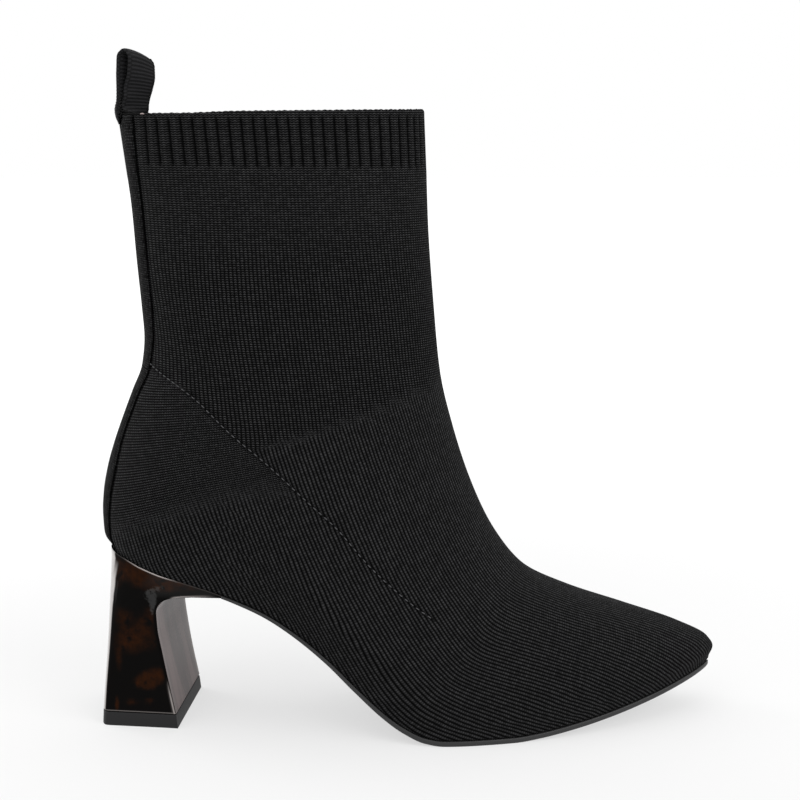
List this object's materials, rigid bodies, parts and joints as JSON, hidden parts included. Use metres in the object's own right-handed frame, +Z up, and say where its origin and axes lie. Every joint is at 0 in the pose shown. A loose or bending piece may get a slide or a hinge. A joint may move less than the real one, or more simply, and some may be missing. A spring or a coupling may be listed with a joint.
{
  "type": "stretch ankle boot",
  "caption": "Pull-on knitted ankle boot for the right foot, with a ribbed cuff, a pointed toe, a webbing loop at the back and a flared glossy block heel.",
  "frame": {"origin": "middle of the boot's plan box, on the floor that it stands on", "axes": "+X towards the toe, -Y towards the outer side of the right foot, +Z up"},
  "size_m": [0.2472, 0.0838, 0.2635],
  "materials": {
    "knit": "black stretch knit, ribbed at the cuff",
    "webbing": "black ribbed webbing",
    "sole": "black satin rubber",
    "lining": "black lined insole board",
    "tortoiseshell": "glossy near-black plastic with amber-brown patches",
    "lift": "matt black rubber"
  },
  "bodies": {
    "root": {"upper": "knit", "counter_tape": "knit", "shaft_tape": "knit", "pull_loop": "webbing", "outsole": "sole", "insole": "lining", "heel": "tortoiseshell", "top_lift": "lift"}
  },
  "joints": []
}
